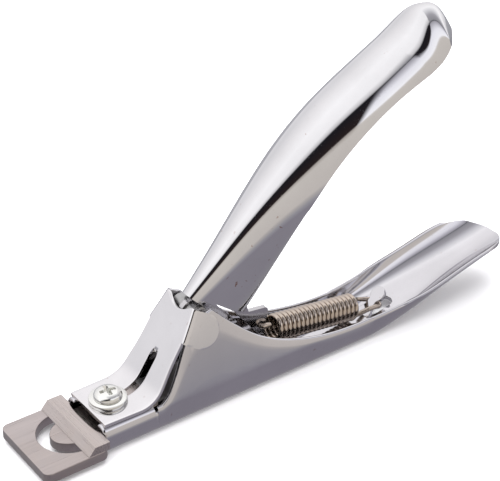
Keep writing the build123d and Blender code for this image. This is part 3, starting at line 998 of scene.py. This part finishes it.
def stage_plane(name, half, z, colour):
    """A matt square of the studio, 2 * half wide, in metres."""
    bm = bmesh.new()
    corners = [(-half, -half), (half, -half), (half, half), (-half, half)]
    bm.faces.new([bm.verts.new((x, y, z)) for x, y in corners])
    plane = new_object(name, bm)
    n = Nodes(name)
    n.shader.inputs["Roughness"].default_value = 0.9
    n.shader.inputs["Specular IOR Level"].default_value = 0.0
    tint = n.mix(n.span(n.noise(n.coords(), 3), 0.4, 0.6, 0, 1), colour, tuple(c * 0.98 for c in colour))
    n.use(Base_Color=tint)
    plane.data.materials.append(n.material)
    return plane


floor = stage_plane("floor", 3.0, -0.0002, FLOOR_GREY)
floor.visible_glossy = False


def soft_light(name, place, size, power):
    light = bpy.data.lights.new(name, "AREA")
    light.shape = "SQUARE"
    light.size = size
    light.energy = power
    lamp = bpy.data.objects.new(name, light)
    lamp.location = place
    lamp.rotation_euler = (-Vector(place)).to_track_quat("-Z", "Y").to_euler()
    lamp.visible_glossy = False
    bpy.context.scene.collection.objects.link(lamp)


soft_light("top_soft", (0.0, 0.2, 1.0), 1.4, 16)
soft_light("side_soft", (-0.6, -0.8, 0.8), 0.9, 5)


# The room as the steel reflects it: colours by the angle about X, from the near horizon (0 degrees)
# over the top (90) to the far one (180). The near side has a dark gap, which is only seen from
# the handle's slope; towards the handle ends a bright panel and a thin seam stand in its place.
ROOM_BELOW = [(-180, (0.60, 0.60, 0.64)), (-150, (0.40, 0.40, 0.43)), (-90, (0.34, 0.33, 0.36)),
              (-38, (0.32, 0.30, 0.35)), (-27, (0.42, 0.41, 0.45)), (-18, (0.58, 0.55, 0.54)),
              (-11, (0.76, 0.71, 0.67)), (30, (0.82, 0.77, 0.72))]
ROOM_ABOVE = [(110, (1.42, 1.41, 1.43)), (140, (1.22, 1.20, 1.22)), (165, (1.0, 0.99, 1.02))]
DARK_GAP = [(37, (0.55, 0.50, 0.46)), (38.5, (0.03, 0.02, 0.02)), (65, (0.015, 0.015, 0.02)),
            (68, (0.78, 0.77, 0.79)), (78, (1.30, 1.29, 1.31))]
BRIGHT_GAP = [(35, (0.85, 0.80, 0.75)), (38, (1.35, 1.35, 1.4)), (49, (1.2, 1.2, 1.28)),
              (58, (0.70, 0.69, 0.76)), (63, (0.50, 0.49, 0.54)), (64.5, (0.05, 0.05, 0.06)),
              (66, (0.40, 0.40, 0.43)), (80, (0.55, 0.54, 0.58)), (94, (1.0, 1.0, 1.04))]

GAP_START, GAP_END = -0.11, -0.05    # between these X directions the dark gap gives way to the bright one


def room_ramp(tree, angle, stops):
    """The room's colour at an angle, with stops for the near side's gap."""
    ramp = tree.nodes.new("ShaderNodeValToRGB")
    stops = ROOM_BELOW + stops + ROOM_ABOVE
    elements = ramp.color_ramp.elements
    while len(elements) < len(stops):
        elements.new(0.5)
    for element, (degrees, colour) in zip(elements, stops):
        element.position = (degrees + 180) / 360
        element.color = (*colour, 1)
    tree.links.new(angle, ramp.inputs["Fac"])
    return ramp.outputs["Color"]


def world_node(tree, operation, *links):
    """A math node of the world, fed by links."""
    node = tree.nodes.new("ShaderNodeMath")
    node.operation = operation
    for socket, source in zip(node.inputs, links):
        tree.links.new(source, socket)
    return node


def world_span(tree, source, low, high):
    """source mapped from low..high to 0..1."""
    node = tree.nodes.new("ShaderNodeMapRange")
    node.inputs["From Min"].default_value = low
    node.inputs["From Max"].default_value = high
    tree.links.new(source, node.inputs["Value"])
    return node.outputs["Result"]


def studio_world():
    """The room on all sides, as a world colour that depends on the direction alone."""
    world = bpy.data.worlds.new("studio")
    bpy.context.scene.world = world
    world.use_nodes = True
    tree = world.node_tree
    link = tree.links.new
    coordinates = tree.nodes.new("ShaderNodeTexCoord")
    split = tree.nodes.new("ShaderNodeSeparateXYZ")
    link(coordinates.outputs["Generated"], split.inputs[0])
    flip = world_node(tree, "MULTIPLY", split.outputs["Y"])
    flip.inputs[1].default_value = -1
    turn = world_node(tree, "ARCTAN2", split.outputs["Z"], flip.outputs[0])
    angle = world_span(tree, turn.outputs[0], -math.pi, math.pi)
    rearward = world_span(tree, split.outputs["X"], GAP_START, GAP_END)
    blend = tree.nodes.new("ShaderNodeMix")
    blend.data_type = "RGBA"
    link(rearward, blend.inputs[0])
    link(room_ramp(tree, angle, DARK_GAP), blend.inputs[6])
    link(room_ramp(tree, angle, BRIGHT_GAP), blend.inputs[7])
    link(blend.outputs[2], tree.nodes["Background"].inputs["Color"])


studio_world()
bpy.context.scene.view_settings.view_transform = "Standard"


def main_camera():
    """A long lens from the front left, a little above."""
    azimuth, elevation, roll = math.radians(36.9), math.radians(30.75), math.radians(0.68)
    target = at(56.24, 1.47, 30.94)
    distance = 0.290
    forward = Vector((math.sin(azimuth) * math.cos(elevation), math.cos(azimuth) * math.cos(elevation),
                      -math.sin(elevation)))
    lens = bpy.data.cameras.new("camera")
    lens.sensor_width = 36
    lens.lens = 100.8
    lens.clip_start, lens.clip_end = 0.01, 20
    camera = bpy.data.objects.new("camera", lens)
    camera.rotation_mode = "QUATERNION"
    turn = forward.to_track_quat("-Z", "Y").to_matrix() @ Matrix.Rotation(roll, 3, "Z")
    camera.rotation_quaternion = turn.to_quaternion()
    camera.location = target - forward * distance
    bpy.context.scene.collection.objects.link(camera)
    bpy.context.scene.camera = camera


main_camera()
